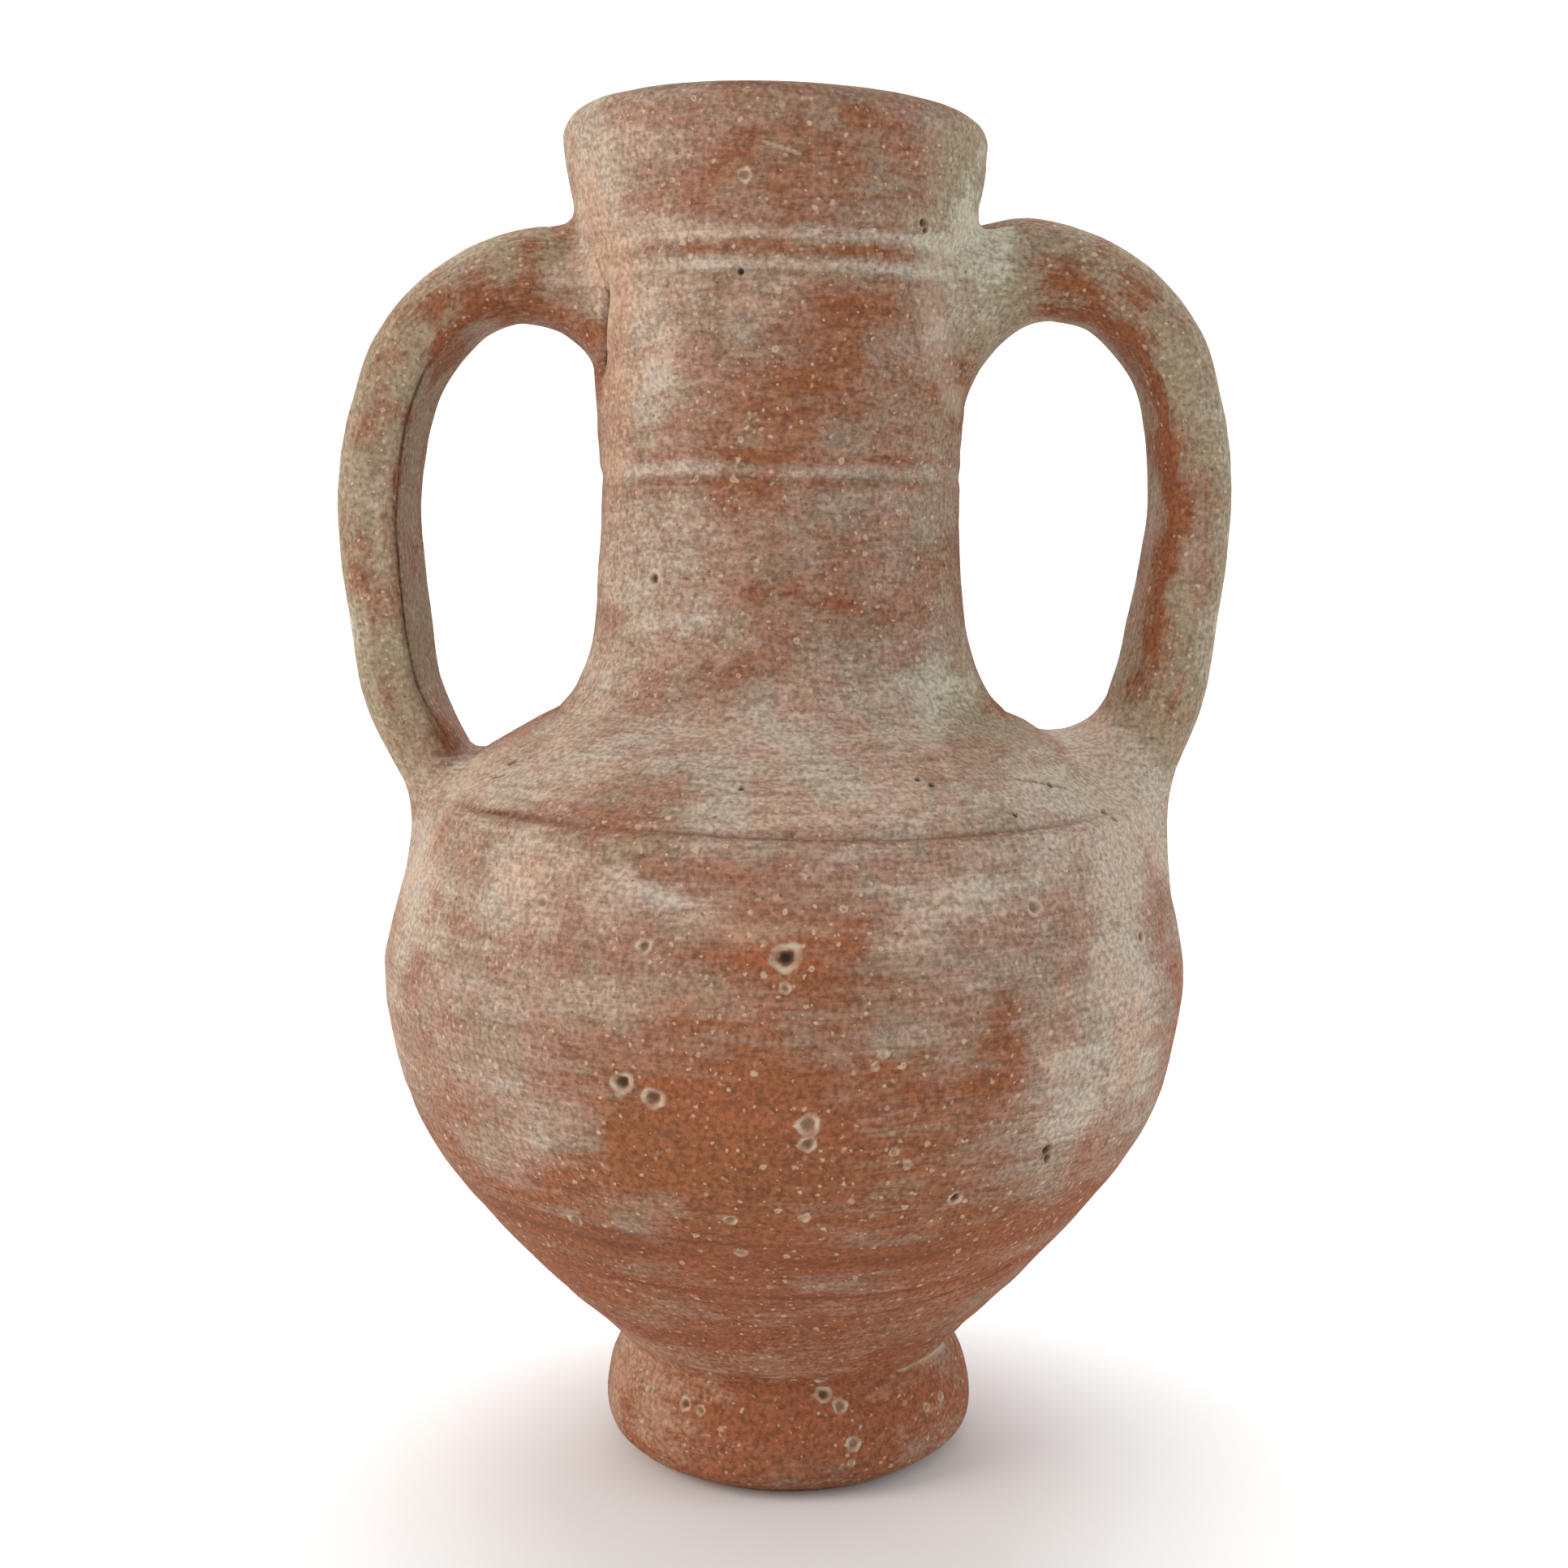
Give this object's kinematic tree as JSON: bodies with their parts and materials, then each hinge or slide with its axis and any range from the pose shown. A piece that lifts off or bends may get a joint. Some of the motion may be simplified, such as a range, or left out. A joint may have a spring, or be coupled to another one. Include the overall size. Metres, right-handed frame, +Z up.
{
  "type": "amphora",
  "caption": "Earthenware amphora with a ring foot, round belly, sloping shoulder, tall neck, flared mouth collar and strap handles from neck to shoulder.",
  "frame": {"origin": "centre of the circle that the foot stands on, on the resting surface", "axes": "+Z up the axis of the jar to the mouth, +X through the right handle, -Y towards the front"},
  "size_m": [0.197, 0.1796, 0.3],
  "materials": {
    "foot_clay": "matte",
    "belly_clay": "matte",
    "shoulder_clay": "matte",
    "neck_clay": "matte",
    "collar_clay": "matte",
    "handle_clay": "matte",
    "luting_clay": "matte"
  },
  "bodies": {
    "root": {"foot_ring": "foot_clay", "belly": "belly_clay", "shoulder": "shoulder_clay", "neck": "neck_clay", "mouth_collar": "collar_clay", "handle_left": "handle_clay", "handle_right": "handle_clay", "luting_clay_left_upper": "luting_clay", "luting_clay_left_lower": "luting_clay", "luting_clay_right_upper": "luting_clay", "luting_clay_right_lower": "luting_clay"}
  },
  "joints": []
}
